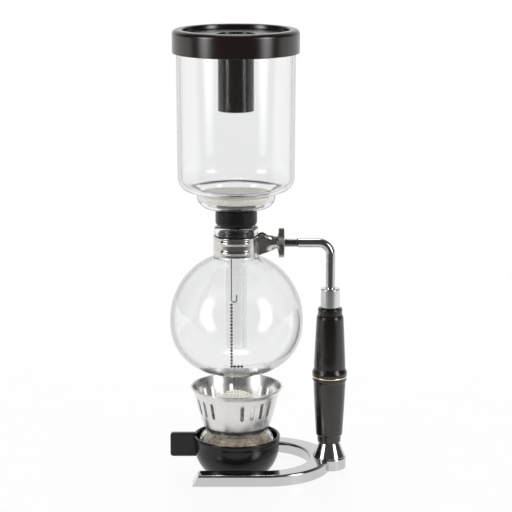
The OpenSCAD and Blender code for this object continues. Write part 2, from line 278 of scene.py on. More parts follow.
chrome, chrome_shader = material("chrome_plate", Metallic=1.0, Base_Color=(0.56, 0.56, 0.57, 1))
wipe_marks = cloudy(chrome, 60, (1, 1, 0.35), 6)
wire_to(chrome, between(chrome, wipe_marks, 0.03, 0.11, 0.35, 0.75), chrome_shader, "Roughness")
dented(chrome, chrome_shader, cloudy(chrome, 25, detail=1), 0.00006, 0.6)

low, high = (corner * 1000 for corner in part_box("base"))
arm_half, gap_half = high.y, 35.6
tip_x, top_z = low.x, high.z
column_mm, glass_mm = column_x * 1000, glass_x * 1000
ring_mm = glass_mm + 21
tip_slope = 5
outer_stretch, inner_stretch = 2.2, -0.8
boss_r, screw_bore_r, screw_bore_top = 13, 6, 4.2

bm = bmesh.new()
section = [bm.verts.new(co) for co in (
    (tip_x, -arm_half, low.z), (tip_x + tip_slope, -arm_half, top_z),
    (tip_x + tip_slope, -gap_half, top_z), (tip_x, -gap_half, low.z))]
end = bm.faces.new(section)
straight = bmesh.ops.extrude_face_region(bm, geom=[end])
ring_start = [item for item in straight["geom"] if isinstance(item, bmesh.types.BMVert)]
for vert in ring_start:
    vert.co.x = ring_mm
ring_face = [item for item in straight["geom"] if isinstance(item, bmesh.types.BMFace)]
ring = bmesh.ops.spin(bm, geom=ring_face, cent=(ring_mm, 0, 0), axis=(0, 0, 1), angle=math.pi, steps=56)
last = [item for item in ring["geom_last"] if isinstance(item, bmesh.types.BMFace)]
straight = bmesh.ops.extrude_face_region(bm, geom=last)
for item in straight["geom"]:
    if isinstance(item, bmesh.types.BMVert):
        item.co.x = tip_x + (tip_slope if item.co.z > top_z - 1 else 0)
bmesh.ops.delete(bm, geom=ring_face + last, context="FACES_ONLY")
for vert in bm.verts:
    reach = max(0, (vert.co.x - ring_mm) / arm_half)
    outside = math.hypot(vert.co.x - ring_mm, vert.co.y) > (arm_half + gap_half) / 2
    vert.co.x += reach * (outer_stretch if outside else inner_stretch)
rims = [edge for edge in bm.edges if all(v.co.z > top_z - 0.01 for v in edge.verts)
        and edge.calc_face_angle(0) > 0.5]
bevel(bm, rims, 1.9, 5)
feet = [edge for edge in bm.edges if all(v.co.z < low.z + 0.01 for v in edge.verts)
        and edge.calc_face_angle(0) > 0.5]
bevel(bm, feet, 0.5, 2)
boss = bmesh.new()
rod(boss, boss_r, column_mm, 0, low.z, top_z - 0.02, 96)
bevel(boss, [edge for edge in boss.edges if all(v.co.z > top_z - 0.5 for v in edge.verts)], 1.2, 4)
bm = cut(bm, boss, "UNION")
bore = bmesh.new()
rod(bore, screw_bore_r, column_mm, 0, -5, screw_bore_top)
bm = cut(bm, bore, "DIFFERENCE")
new_piece("base_casting", bm, chrome, "root", "base")

# ---------------------------------------------------------------------------
# Pads and base screw
# Four black rubber discs are pressed into shallow seats under the horseshoe. A steel socket screw
# from below pulls the whole column down on the boss.

rubber, rubber_shader = material("black_rubber", Specular_IOR_Level=0.25)
rub = cloudy(rubber, 900, detail=3)
wire_to(rubber, tinted(rubber, rub, (0.004, 0.004, 0.0045), (0.008, 0.008, 0.0085)), rubber_shader,
        "Base Color")
wire_to(rubber, between(rubber, cloudy(rubber, 80), 0.24, 0.34), rubber_shader, "Roughness")
dented(rubber, rubber_shader, rub, 0.00003, 0.5)

steel, steel_shader = material("bright_steel", Metallic=1.0)
marks = cloudy(steel, 300, (1, 1, 6), 5)
wire_to(steel, tinted(steel, marks, (0.50, 0.49, 0.48), (0.66, 0.65, 0.63)), steel_shader, "Base Color")
wire_to(steel, between(steel, marks, 0.14, 0.3), steel_shader, "Roughness")
dented(steel, steel_shader, marks, 0.00002, 0.4)


def finish_node(node, mat):
    """Gives a node that keeps its own shape its finish."""
    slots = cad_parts[node].data.materials
    slots.clear()
    slots.append(mat)


finish_node("base_pads", rubber)
finish_node("base_screw", steel)

# ---------------------------------------------------------------------------
# Column
# A chrome cone stands on the boss. The handle above it is two turned grips of dark brown phenolic,
# parted by a pale gold ring, under a phenolic cap and a satin aluminium sleeve.


def turned(outline, x=0.0, y=0.0, steps=96):
    """Spins an outline of (radius, height) or (radius, height, rounding) points into a closed solid."""
    bm = bmesh.new()
    points = [bm.verts.new((point[0], 0, point[1])) for point in outline]
    for a, b in zip(points, points[1:]):
        bm.edges.new((a, b))
    if outline[0][0] > 0 and outline[0][:2] != outline[-1][:2]:
        bm.edges.new((points[-1], points[0]))
    for point, vert in zip(outline, points):
        if len(point) > 2:
            bmesh.ops.bevel(bm, geom=[vert], offset=point[2], offset_type="OFFSET", segments=5, profile=0.5,
                            affect="VERTICES", material=-1)
    bmesh.ops.spin(bm, geom=bm.verts[:] + bm.edges[:], cent=(0, 0, 0), axis=(0, 0, 1), angle=math.tau,
                   steps=steps, use_merge=True)
    bmesh.ops.remove_doubles(bm, verts=bm.verts, dist=1e-4)
    bmesh.ops.translate(bm, vec=(x, y, 0), verts=bm.verts)
    return bm


def heights(node):
    """Lowest and highest point of a node, in millimetres."""
    low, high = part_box(node)
    return low.z * 1000, high.z * 1000


z0, z1 = heights("foot_cone")
cone = turned([(0, z0), (12.6, z0, 0.5), (12.1, z0 + 1, 0.6), (7.9, z1, 0.3), (0, z1)], column_mm)
new_piece("foot_cone_plated", cone, chrome, "root", "foot_cone")

phenolic, phenolic_shader = material("brown_phenolic", Coat_Weight=0.25, Coat_Roughness=0.08,
                                     Specular_IOR_Level=0.55)
flow = cloudy(phenolic, 55, (1, 1, 0.25), 3)
wire_to(phenolic, tinted(phenolic, flow, (0.0045, 0.0020, 0.0017), (0.0100, 0.0045, 0.0036)),
        phenolic_shader, "Base Color")
wire_to(phenolic, between(phenolic, cloudy(phenolic, 140, detail=5), 0.16, 0.27), phenolic_shader,
        "Roughness")
dented(phenolic, phenolic_shader, cloudy(phenolic, 220, (1, 1, 3), 2), 0.00002, 0.5)

z0, z1 = heights("lower_grip")
lower = turned([(0, z0), (8.7, z0, 0.8), (9.2, z0 + 5.6, 0.2), (10.1, z0 + 6.3, 0.4),
                (11.4, z0 + 28, 4), (12.1, z1 - 7.5, 2), (12.3, z1 - 3.6, 0.8), (13.1, z1 - 2.2, 0.6),
                (13.1, z1, 0.3), (0, z1)], column_mm)
new_piece("lower_handle_grip", lower, phenolic, "root", "lower_grip")

gold, gold_shader = material("pale_gold_plate", Metallic=1.0)
lustre = cloudy(gold, 200)
wire_to(gold, tinted(gold, lustre, (0.80, 0.70, 0.47), (0.92, 0.84, 0.62)), gold_shader, "Base Color")
wire_to(gold, between(gold, lustre, 0.16, 0.28), gold_shader, "Roughness")
z0, z1 = heights("grip_ring")
ring_bm = turned([(0, z0), (13.45, z0, 0.5), (13.45, z1, 0.5), (0, z1)], column_mm)
new_piece("gold_ring", ring_bm, gold, "root", "grip_ring")

z0, z1 = heights("upper_grip")
upper = turned([(0, z0), (13.1, z0, 0.3), (13.4, z0 + 1.6, 0.7), (13.1, z0 + 3.6, 1.2), (12.0, z0 + 5.2, 1.0),
                (12.0, z0 + 9, 3), (11.1, z0 + 28, 5), (10.3, z1 - 2, 0.8), (9.8, z1, 0.4), (0, z1)],
               column_mm)
new_piece("upper_handle_grip", upper, phenolic, "root", "upper_grip")

z0, z1 = heights("handle_cap")
cap = turned([(0, z0), (9.2, z0, 0.4), (9.3, z1, 1.4), (0, z1)], column_mm)
new_piece("handle_top_cap", cap, phenolic, "root", "handle_cap")

satin, satin_shader = material("satin_aluminium", Metallic=1.0, Base_Color=(0.72, 0.72, 0.73, 1))
lathe_marks = cloudy(satin, 12, (1, 1, 0.4), 1)
wire_to(satin, between(satin, lathe_marks, 0.18, 0.34), satin_shader, "Roughness")
dented(satin, satin_shader, lathe_marks, 0.00002, 0.5)
z0, z1 = heights("collar")
sleeve = turned([(0, z0), (6.9, z0, 0.2), (7.3, z0 + 0.6, 0.2), (7.3, z1 - 0.6, 0.4), (6.6, z1, 0.3),
                 (0, z1)], column_mm)
new_piece("sleeve", sleeve, satin, "root", "collar")

# ---------------------------------------------------------------------------
# Arm
# One rod of chromed steel rises out of the handle, bends towards the glass and ends in a rolled
# thread for the lock wheel and the bushing between the clamp's ears. The dark in the thread's roots is
# painted shade, drawn as a dark steel core of its own under the chrome teeth.

arm_r = 3.5
arm_z = heights("arm_rod")[1] - arm_r
bend_r = 9
root_r, crest_r, core_r = 2.5, 3.48, 2.65
thread_start, thread_end, pitch = glass_mm + 24, glass_mm + 47, 1.65

bm = bmesh.new()
bmesh.ops.create_circle(bm, cap_ends=True, segments=40, radius=arm_r)
bmesh.ops.translate(bm, vec=(column_mm, 0, heights("collar")[0]), verts=bm.verts)
start = bm.faces[:]
up = bmesh.ops.extrude_face_region(bm, geom=start)
leg = [item for item in up["geom"] if isinstance(item, bmesh.types.BMVert)]
for vert in leg:
    vert.co.z = arm_z - bend_r
leg_top = [item for item in up["geom"] if isinstance(item, bmesh.types.BMFace)]
bend = bmesh.ops.spin(bm, geom=leg_top, cent=(column_mm - bend_r, 0, arm_z - bend_r), axis=(0, -1, 0),
                      angle=math.pi / 2, steps=20)
bend_end = [item for item in bend["geom_last"] if isinstance(item, bmesh.types.BMFace)]
level = bmesh.ops.extrude_face_region(bm, geom=bend_end)
for item in level["geom"]:
    if isinstance(item, bmesh.types.BMVert):
        item.co.x = thread_end - 0.5
bmesh.ops.delete(bm, geom=leg_top + bend_end, context="FACES_ONLY")
turns, steps_in_turn = int((thread_end - thread_start) / pitch), 32
tooth = [bm.verts.new((thread_start + dx, 0, arm_z + r))
         for dx, r in ((0, root_r), (0.45, crest_r), (0.75, crest_r), (1.2, root_r))]
tooth_face = bm.faces.new(tooth)
bmesh.ops.spin(bm, geom=[tooth_face], cent=(0, 0, arm_z), axis=(1, 0, 0), angle=math.tau * turns,
               steps=steps_in_turn * turns, dvec=(pitch / steps_in_turn, 0, 0))
new_piece("bent_arm", bm, chrome, "root", "arm_rod")

# The core's dark colour is painted shade for the thread's roots; its mottle is random tone within it.
root_shade_steel, root_shade_steel_shader = material("thread_root_painted_shade", Metallic=1.0)
root_shade_mottle = cloudy(root_shade_steel, 500)
wire_to(root_shade_steel, tinted(root_shade_steel, root_shade_mottle, (0.07, 0.068, 0.065), (0.14, 0.135, 0.13)), root_shade_steel_shader,
        "Base Color")
wire_to(root_shade_steel, between(root_shade_steel, root_shade_mottle, 0.3, 0.45), root_shade_steel_shader, "Roughness")
core = bmesh.new()
bmesh.ops.create_cone(core, cap_ends=True, segments=40, radius1=core_r, radius2=core_r,
                      depth=thread_end - thread_start)
bmesh.ops.rotate(core, matrix=Matrix.Rotation(math.pi / 2, 3, "Y"), verts=core.verts)
bmesh.ops.translate(core, vec=((thread_start + thread_end) / 2, 0, arm_z), verts=core.verts)
thread_core = new_piece("thread_core", core, root_shade_steel, "root")

# ---------------------------------------------------------------------------
# Clamp
# The clamp is one strip of bright stainless steel, rolled round the bulb's neck. Two long ribs are
# pressed into it for stiffness, and its ends run out as ears that hold a threaded bushing.

stainless, stainless_shader = material("bright_stainless", Metallic=1.0)
rolling = cloudy(stainless, 60, (1, 1, 3), 3)
wire_to(stainless, tinted(stainless, rolling, (0.60, 0.58, 0.56), (0.74, 0.72, 0.69)), stainless_shader,
        "Base Color")
wire_to(stainless, between(stainless, rolling, 0.07, 0.17), stainless_shader, "Roughness")
dented(stainless, stainless_shader, rolling, 0.00002, 0.35)

band_low, band_high = heights("clamp_band")
band_low += 0.3
band_high = band_low + 14.5
band_r = 17.0
ear_gap = 4.85
ear_x = 31.0
ear_below, ear_above, ear_fold = 4.0, 4.4, 4.5
rib_heights, rib_half_length, rib_half_width, rib_depth = (3.7, 11.0), 9.5, 1.7, 1.0
fold_angle = math.asin(ear_gap / band_r)
arc_length = band_r * (math.tau - 2 * fold_angle)
ear_length = ear_x - band_r * math.cos(fold_angle)
strip = arc_length + 2 * ear_length


def along_strip(s):
    """Where a distance along the strip lies, and its direction outwards."""
    if s < ear_length:
        return Vector((ear_x - s, -ear_gap, 0)), Vector((0, -1, 0))
    if s > strip - ear_length:
        return Vector((ear_x - (strip - s), ear_gap, 0)), Vector((0, 1, 0))
    angle = -fold_angle - (s - ear_length) / band_r
    out = Vector((math.cos(angle), math.sin(angle), 0))
    return out * band_r, out


def rib_height(s, z):
    """Height of the pressed ribs at a place on the strip."""
    best = 0.0
    for centre_s in (ear_length + arc_length * 0.24, ear_length + arc_length * 0.76):
        for rib_z in rib_heights:
            run = max(0, abs(s - centre_s) - rib_half_length)
            best = max(best, 1 - math.hypot(run, z - band_low - rib_z) / rib_half_width)
    return rib_depth * best * best * (3 - 2 * best)


bm = bmesh.new()
bmesh.ops.create_grid(bm, x_segments=260, y_segments=34, size=1)
for vert in bm.verts:
    s = (vert.co.x + 1) / 2 * strip
    share = (vert.co.y + 1) / 2
    free = max(0.0, ear_length - min(s, strip - s)) / ear_length
    ease = min(1.0, max(0.0, (free - 0.05) / 0.85))
    low_z = band_low + (arm_z - ear_below - band_low) * ease
    high_z = band_high + 1.6 * math.sin(math.pi * min(1.0, free * 2.2)) * (free < 0.4545) \
        + (arm_z + ear_above - band_high) * ease
    z = low_z + (high_z - low_z) * share
    place, out = along_strip(s)
    vert.co = place + out * rib_height(s, z) + Vector((glass_mm, 0, z))
    wrap = min(1.0, max(0.0, (free - 0.25) / 0.6)) ** 2
    lean = (z - arm_z) / ear_above * 1.25
    side = 1 if vert.co.y > 0 else -1
    if wrap > 0:
        vert.co.y += (side * ear_fold * math.cos(max(-1.35, min(1.35, lean))) - vert.co.y) * wrap
bmesh.ops.recalc_face_normals(bm, faces=bm.faces)
band = new_piece("neck_clamp", bm, stainless, "root", "clamp_band", 60)
sheet_gauge = band.modifiers.new("gauge", "SOLIDIFY")
sheet_gauge.thickness = 0.0009
sheet_gauge.offset = 0
sheet_gauge.use_even_offset = True
bushing_r, bushing_length, bushing_inset = 3.9, 6.9, 3.5
bushing = bmesh.new()
bmesh.ops.create_cone(bushing, cap_ends=True, segments=48, radius1=bushing_r, radius2=bushing_r,
                      depth=bushing_length)
bmesh.ops.rotate(bushing, matrix=Matrix.Rotation(math.pi / 2, 3, "Y"), verts=bushing.verts)
bmesh.ops.translate(bushing, vec=(glass_mm + ear_x - bushing_inset, 0, arm_z), verts=bushing.verts)
new_piece("ear_bushing", bushing, steel, "root", "ear_block")
finish_node("clamp_screw", steel)
finish_node("clamp_nut", steel)
finish_node("lock_washer", steel)

# ---------------------------------------------------------------------------
# Lock wheel
# The lock wheel is a turned steel disc with a knurled rim. It runs on the arm's thread behind a thin
# washer and locks the arm against the clamp's ears.

wheel_low, wheel_high = (corner * 1000 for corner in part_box("thumb_wheel"))
wheel_r = (wheel_high.z - wheel_low.z) / 2
wheel_z = (wheel_high.z + wheel_low.z) / 2
knurl_depth, wheel_bore_r = 0.4, 3.56
bm = bmesh.new()
bmesh.ops.create_circle(bm, cap_ends=True, segments=144, radius=wheel_r)
for number, vert in enumerate(bm.verts):
    if number % 2:
        vert.co *= 1 - knurl_depth / wheel_r
disc = bmesh.ops.extrude_face_region(bm, geom=bm.faces[:])
bmesh.ops.translate(bm, vec=(0, 0, wheel_high.x - wheel_low.x),
                    verts=[item for item in disc["geom"] if isinstance(item, bmesh.types.BMVert)])
bmesh.ops.recalc_face_normals(bm, faces=bm.faces)
for flat in [face for face in bm.faces if len(face.verts) > 100]:
    bmesh.ops.inset_region(bm, faces=[flat], thickness=0.8, depth=0.35)
    bmesh.ops.inset_region(bm, faces=[flat], thickness=1.6, depth=0)
    bmesh.ops.inset_region(bm, faces=[flat], thickness=0.5, depth=-0.5)
hole = bmesh.new()
rod(hole, wheel_bore_r, 0, 0, -2, 8)
bm = cut(bm, hole, "DIFFERENCE")
bmesh.ops.rotate(bm, matrix=Matrix.Rotation(math.pi / 2, 3, "Y"), verts=bm.verts)
bmesh.ops.translate(bm, vec=(wheel_low.x, 0, wheel_z), verts=bm.verts)
new_piece("knurled_wheel", bm, steel, "wheel", "thumb_wheel", 30)

# ---------------------------------------------------------------------------
# Bulb
# The bulb is blown borosilicate glass, nearly a ball, with a straight neck and a beaded lip. The
# clamp grips it by the neck, and it hangs clear of the burner.

glass, glass_shader = material("borosilicate", Transmission_Weight=1.0, IOR=1.47)
film = cloudy(glass, 35, detail=3)
# The glass's colour darkens towards its edges by Layer Weight (Facing): painted shade for the dark outlines
# that edge-on glass shows.
edge_on = joined(glass, "ShaderNodeLayerWeight", Blend=0.5).outputs["Facing"]
painted_edge_shade = tinted(glass, edge_on, (0.955, 0.957, 0.960), (0.10, 0.102, 0.105), 0.30, 1.0)
for place, shade in ((0.60, 0.90), (0.70, 0.70), (0.80, 0.30)):
    painted_edge_shade.node.color_ramp.elements.new(place).color = (shade, shade * 1.004, shade * 1.01, 1)
wire_to(glass, painted_edge_shade, glass_shader, "Base Color")
wire_to(glass, between(glass, film, 0.0, 0.012, 0.45, 0.8), glass_shader, "Roughness")
dented(glass, glass_shader, cloudy(glass, 12, detail=1), 0.0002, 0.08)
glass_out = glass.node_tree.nodes["Material Output"]
clear = joined(glass, "ShaderNodeBsdfTransparent", Color=(0.93, 0.94, 0.94, 1))
ray = joined(glass, "ShaderNodeLightPath")
pick = joined(glass, "ShaderNodeMixShader", Fac=ray.outputs["Is Shadow Ray"])
glass.node_tree.links.new(glass_shader.outputs["BSDF"], pick.inputs[1])
glass.node_tree.links.new(clear.outputs["BSDF"], pick.inputs[2])
glass.node_tree.links.new(pick.outputs["Shader"], glass_out.inputs["Surface"])

bulb_low, neck_top = heights("bulb")
bulb_r = (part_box("bulb")[1].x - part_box("bulb")[0].x) * 500
bulb_z = 118.0
bulb_up = 51.5
lower_flatness = 0.87
neck_r = 15.9
bulb_wall = 1.5


def oval(radius, down, up, start, end, count=48):
    """Points on a ball whose lower half is shallower and flatter than its upper half."""
    points = []
    for i in range(count + 1):
        angle = math.radians(start + (end - start) * i / count)
        if angle < 0:
            points.append((radius * max(0, math.cos(angle)) ** lower_flatness,
                           bulb_z - down * math.sin(-angle) ** lower_flatness))
        else:
            points.append((radius * math.cos(angle), bulb_z + up * math.sin(angle)))
    return points


def arc(cx, cz, radius, start, end, count=10):
    """Points on an arc, with angles from level outwards."""
    angles = [math.radians(start + (end - start) * i / count) for i in range(count + 1)]
    return [(cx + radius * math.cos(a), cz + radius * math.sin(a)) for a in angles]


down = bulb_z - bulb_low
shoulder = math.degrees(math.acos((neck_r + 1.2) / bulb_r))
outside = oval(bulb_r, down, bulb_up, -90, shoulder)
inner_shoulder = math.degrees(math.acos((neck_r - 1.2) / (bulb_r - bulb_wall)))
inside = oval(bulb_r - bulb_wall, down - bulb_wall, bulb_up - bulb_wall, inner_shoulder, -90)
bulb_bm = turned(
    [(0.0, bulb_low)] + outside[1:] + [(neck_r, 168.4), (neck_r, neck_top - 7), (16.5, neck_top - 5.2)]
    + arc(14.2, neck_top - 2.5, 2.5, -15, 90, 8) + arc(14.4, neck_top - 0.9, 0.9, 90, 180, 4)
    + [(neck_r - 2.4, 168.0)] + inside[:-1] + [(0.0, bulb_low + bulb_wall)],
    glass_mm, steps=144)
new_piece("bulb_glass", bulb_bm, glass, "root", "bulb")

# ---------------------------------------------------------------------------
# Upper bowl
# The upper bowl, its filter dish and the long stem are one piece of the same borosilicate glass,
# formed on a lathe. It stands in the bulb's neck by its stopper.

stem_end, rim_z = heights("upper_bowl")
bowl_r = (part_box("upper_bowl")[1].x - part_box("upper_bowl")[0].x) * 500
dish_z = 204.0
low_r = bowl_r - 0.7
bowl_bm = turned(
    [(7.5, stem_end), (7.5, dish_z - 3)] + arc(9.5, dish_z - 2, 2, 180, 90, 5)
    + [(20.5, dish_z)] + arc(20.5, dish_z + 9, 9, -80, -20, 10) + arc(32.3, dish_z + 11.2, 2.6, 160, 110, 5)
    + arc(low_r - 10, 227, 10, -88, 0, 14)
    + arc(bowl_r - 1, rim_z - 1, 1, 0, 180, 8)
    + arc(low_r - 10, 227, 8, 0, -86, 14) + arc(32.2, dish_z + 11.2, 4.3, 110, 160, 5)
    + arc(20.5, dish_z + 9, 7, -20, -80, 10) + [(9.5, dish_z + 1.8)]
    + arc(9.0, dish_z - 1.0, 3.1, 100, 180, 5) + [(5.9, stem_end)],
    glass_mm, steps=144)
new_piece("bowl_glass", bowl_bm, glass, "upper_bowl", "upper_bowl")

# ---------------------------------------------------------------------------
# Bung
# A moulded black silicone stopper is pushed up the stem to the dish. Its taper seals in the bulb's
# neck, and the wide ring above is there to grip it by.

z0, z1 = heights("bung")
bung_bm = turned([(7.55, z0), (12.0, z0, 0.6), (13.3, z0 + 5.5, 2), (13.35, z0 + 11.5, 1.5),
                  (12.4, z0 + 12.8, 0.6), (12.9, z0 + 14.2, 0.5), (14.6, z0 + 15.0, 0.5),
                  (15.7, z0 + 16.6, 0.8), (15.7, z1 - 0.5, 0.8), (7.55, z1)], glass_mm)
new_piece("stopper", bung_bm, rubber, "upper_bowl", "bung")

# ---------------------------------------------------------------------------
# Lid
# The lid is moulded in dark brown satin plastic with a shallow round recess. A closed sleeve hangs
# from its middle: turned over, the lid is a stand that takes the upper bowl's stem.

lid_plastic, lid_shader = material("espresso_plastic", Specular_IOR_Level=0.75)
speck = cloudy(lid_plastic, 1400, detail=2)
tone = cloudy(lid_plastic, 18, detail=2)
wire_to(lid_plastic, tinted(lid_plastic, tone, (0.0060, 0.0026, 0.0021), (0.0095, 0.0040, 0.0033)),
        lid_shader, "Base Color")
wire_to(lid_plastic, between(lid_plastic, cloudy(lid_plastic, 70), 0.17, 0.24), lid_shader, "Roughness")
dented(lid_plastic, lid_shader, speck, 0.00002, 0.4)

socket_end, lid_top = heights("lid")
lid_r = (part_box("lid")[1].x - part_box("lid")[0].x) * 500
skirt_z = 320.0
recess = lid_top - 3.4
lid_bm = turned(
    [(lid_r - 1.8, skirt_z, 0.3), (lid_r, skirt_z, 0.5), (lid_r, lid_top, 3.2), (39.8, lid_top, 0.9),
     (39.5, recess, 0.5), (14.4, recess, 0.4), (14.0, recess - 1.5, 0.3), (0, recess - 1.5),
     (0, recess - 3.6), (11.6, recess - 3.6, 0.4), (11.7, socket_end, 0.5), (13.4, socket_end, 0.5),
     (13.4, recess - 2.2, 0.5), (41.6, recess - 2.2, 0.6), (41.6, rim_z + 0.3, 0.5),
     (lid_r - 1.8, rim_z + 0.3, 0.5)],
    glass_mm, steps=144)
new_piece("lid_moulding", lid_bm, lid_plastic, "lid", "lid")

# ---------------------------------------------------------------------------
# Filter
# A perforated steel disc with a rivet in its middle lies inside a cotton flannel cloth. The cloth is
# folded over the disc's edge and drawn together underneath.

finish_node("filter_plate", steel)
finish_node("filter_rivet", steel)
flannel, flannel_shader = material("cotton_flannel", Roughness=0.95, Sheen_Weight=0.5, Sheen_Roughness=0.5,
                                   Specular_IOR_Level=0.15)


def woven(mat, shader, threads, dark, light, depth):
    """Plain weave on the object's coordinates, with that many threads per metre."""
    place = joined(mat, "ShaderNodeTexCoord").outputs["Object"]
    along = joined(mat, "ShaderNodeTexWave", Vector=place, Scale=threads / 6.2832, Distortion=0.6)
    along.bands_direction = "X"
    across = joined(mat, "ShaderNodeTexWave", Vector=place, Scale=threads / 6.2832, Distortion=0.6)
    across.bands_direction = "Y"
    weave = joined(mat, "ShaderNodeMath")
    weave.operation = "MAXIMUM"
    mat.node_tree.links.new(along.outputs["Fac"], weave.inputs[0])
    mat.node_tree.links.new(across.outputs["Fac"], weave.inputs[1])
    nap = cloudy(mat, 500, detail=6, rough=0.7)
    mixed = joined(mat, "ShaderNodeMath")
    mixed.operation = "MULTIPLY"
    mat.node_tree.links.new(weave.outputs["Value"], mixed.inputs[0])
    mat.node_tree.links.new(nap, mixed.inputs[1])
    wire_to(mat, tinted(mat, mixed.outputs["Value"], dark, light, 0.1, 0.6), shader, "Base Color")
    dented(mat, shader, mixed.outputs["Value"], depth)


woven(flannel, flannel_shader, 1400, (0.62, 0.57, 0.50), (0.90, 0.86, 0.79), 0.0003)

cloth_top = heights("filter_cloth")[1]
steps, pleats, pleat_depth, fray_depth = 120, 17, 1.1, 0.35
cloth_gauge, disc_r = 0.0006, 0.0385
bm = bmesh.new()
edge_points = [(0.3, cloth_top)] + [(r, cloth_top) for r in (6, 12, 18, 22)]
edge_points += arc(24.2, cloth_top - 1.6, 1.6, 80, -60, 6) + [(24.6, cloth_top - 3.6)]
edge_points += [(22.9, cloth_top - 5.6), (20, cloth_top - 7.0), (15, cloth_top - 7.6), (10, cloth_top - 7.9),
                (6.4, cloth_top - 7.9), (5.0, cloth_top - 7.4), (5.5, cloth_top - 8.1),
                (7.4, cloth_top - 8.5)]
wire = [bm.verts.new((r, 0, z)) for r, z in edge_points]
for a, b in zip(wire, wire[1:]):
    bm.edges.new((a, b))
bmesh.ops.spin(bm, geom=bm.verts[:] + bm.edges[:], cent=(0, 0, 0), axis=(0, 0, 1), angle=math.tau,
               steps=steps, use_merge=True)
bmesh.ops.remove_doubles(bm, verts=bm.verts, dist=1e-4)
hub = [edge for edge in bm.edges if len(edge.link_faces) == 1
       and all(v.co.z > cloth_top - 0.1 for v in edge.verts)]
bmesh.ops.contextual_create(bm, geom=hub)
for vert in bm.verts:
    radius = math.hypot(vert.co.x, vert.co.y)
    turn = math.atan2(vert.co.y, vert.co.x)
    under = min(1.0, max(0.0, (cloth_top - 3.0 - vert.co.z) / 4.5))
    pleat = math.sin(pleats * turn + 2.5 * math.sin(3 * turn)) * under * min(1, 7 / max(radius, 1)) \
        * pleat_depth
    fray = noise.noise(Vector((vert.co.x, vert.co.y, vert.co.z)) * 0.9) * fray_depth * under
    vert.co.z += pleat * 0.55 + fray + 0.12 * noise.noise(vert.co * 0.25)
    if radius > 1:
        vert.co.x *= 1 + pleat * 0.06
        vert.co.y *= 1 + pleat * 0.06
bmesh.ops.translate(bm, vec=(glass_mm, 0, 0), verts=bm.verts)
cloth = new_piece("flannel_cloth", bm, flannel, "filter", "filter_cloth", 80)
thick = cloth.modifiers.new("thickness", "SOLIDIFY")
thick.thickness = cloth_gauge
thick.offset = -1

# ---------------------------------------------------------------------------
# Drawstring, spring, wire and chain
# The cloth is tied with a twisted cotton string. The spring is wound from stainless wire, and the
# hook at its wire's end carries a ball chain that lies on the floor of the bulb.

yarn, yarn_shader = material("cotton_yarn", Roughness=0.95, Sheen_Weight=0.6, Specular_IOR_Level=0.15)
strand = cloudy(yarn, 900, (1, 1, 0.3), 5)
wire_to(yarn, tinted(yarn, strand, (0.82, 0.77, 0.66), (0.97, 0.95, 0.89), 0.25, 0.7), yarn_shader,
        "Base Color")
dented(yarn, yarn_shader, strand, 0.0004)


def wound(bm, radius, wire_radius, x, z0, z1, turns, sides=8, steps=28):
    """Adds a helix of round wire about an upright axis."""
    ring = bmesh.ops.create_circle(bm, cap_ends=True, segments=sides, radius=wire_radius)["verts"]
    bmesh.ops.rotate(bm, matrix=Matrix.Rotation(math.pi / 2, 3, "X"), verts=ring)
    bmesh.ops.translate(bm, vec=(x + radius, 0, z0), verts=ring)
    face = [f for f in bm.faces if all(v in ring for v in f.verts)]
    count = int(turns * steps)
    bmesh.ops.spin(bm, geom=face, cent=(x, 0, z0), axis=(0, 0, 1), angle=math.tau * turns, steps=count,
                   dvec=(0, 0, (z1 - z0) / count))


string_z = sum(heights("drawstring")) / 2
bm = bmesh.new()
for height in (-0.35, 0.35):
    wound(bm, 5.5, 0.42, glass_mm, string_z - 1.2 + height, string_z - 1.1 + height, 1.0, 8, 40)
new_piece("tied_string", bm, yarn, "filter", "drawstring", 60)

spring_low, spring_high = heights("filter_spring")
bm = bmesh.new()
wound(bm, 2.5, 0.38, glass_mm, spring_low, spring_high, 15, 8, 24)
new_piece("coil_spring", bm, steel, "filter", "filter_spring", 60)

dull, dull_shader = material("dull_nickel", Metallic=1.0)
tarnish = cloudy(dull, 700)
wire_to(dull, tinted(dull, tarnish, (0.05, 0.048, 0.045), (0.12, 0.115, 0.11)), dull_shader, "Base Color")
wire_to(dull, between(dull, tarnish, 0.25, 0.4), dull_shader, "Roughness")

wire_low, wire_high = (corner * 1000 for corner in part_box("pull_wire"))
wire_x = wire_low.x + 0.55
hook_r, hook_tip = 2.0, 3.6
hook_z = wire_low.z + hook_r + 0.55
bm = bmesh.new()
start = bmesh.ops.create_circle(bm, cap_ends=True, segments=12, radius=0.42)["verts"]
bmesh.ops.translate(bm, vec=(wire_x, 0, wire_high.z), verts=start)
shank = bmesh.ops.extrude_face_region(bm, geom=bm.faces[:])
for item in shank["geom"]:
    if isinstance(item, bmesh.types.BMVert):
        item.co.z = hook_z
foot = [item for item in shank["geom"] if isinstance(item, bmesh.types.BMFace)]
hook = bmesh.ops.spin(bm, geom=foot, cent=(wire_x + hook_r, 0, hook_z), axis=(0, -1, 0), angle=math.pi,
                      steps=14)
point = [item for item in hook["geom_last"] if isinstance(item, bmesh.types.BMFace)]
tip = bmesh.ops.extrude_face_region(bm, geom=point)
bmesh.ops.translate(bm, vec=(0, 0, hook_tip),
                    verts=[item for item in tip["geom"] if isinstance(item, bmesh.types.BMVert)])
bmesh.ops.delete(bm, geom=foot + point, context="FACES_ONLY")
new_piece("hooked_wire", bm, dull, "filter", "pull_wire", 60)

